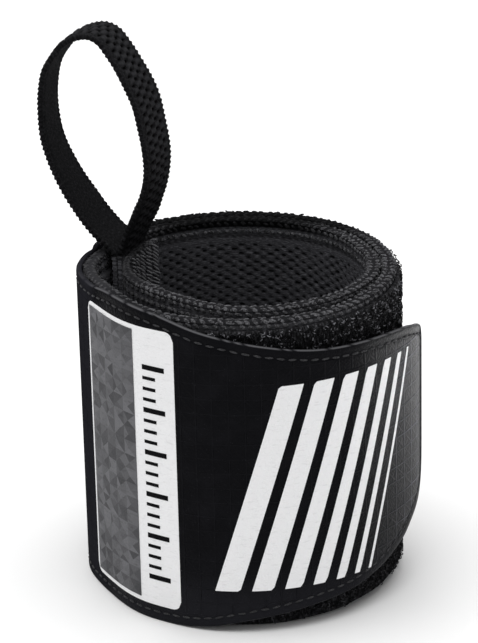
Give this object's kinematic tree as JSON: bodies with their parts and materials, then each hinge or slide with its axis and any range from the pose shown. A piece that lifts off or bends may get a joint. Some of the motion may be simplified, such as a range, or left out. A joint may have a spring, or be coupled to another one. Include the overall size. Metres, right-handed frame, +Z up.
{
  "type": "wrist wrap",
  "caption": "Elastic wrist wrap rolled into an open coil on its edge, with a webbing thumb loop standing up and a hook-and-loop closing tab round the front.",
  "frame": {"origin": "middle of the part's bounding box in X and Y, on the surface that the coil stands on", "axes": "+Z up, along the coil's axis and towards the thumb loop's top; -Y towards the printed front of the closing tab; +X towards the tab's free end"},
  "size_m": [0.0886, 0.0786, 0.129],
  "materials": {
    "elastic_knit": "chunky rib-knit elastic, matt black",
    "loop_pile": "soft looped pile, matt black",
    "tab_face": "coated synthetic leather with a fine square grid, satin black, with a white and grey print",
    "hook_strip": "moulded hook tape, black",
    "webbing": "knitted narrow webbing, matt black"
  },
  "bodies": {
    "root": {"elastic_band": "elastic_knit", "pile_panel": "loop_pile", "closure_tab": "tab_face", "hook_panel": "hook_strip", "thumb_loop": "webbing"}
  },
  "joints": []
}
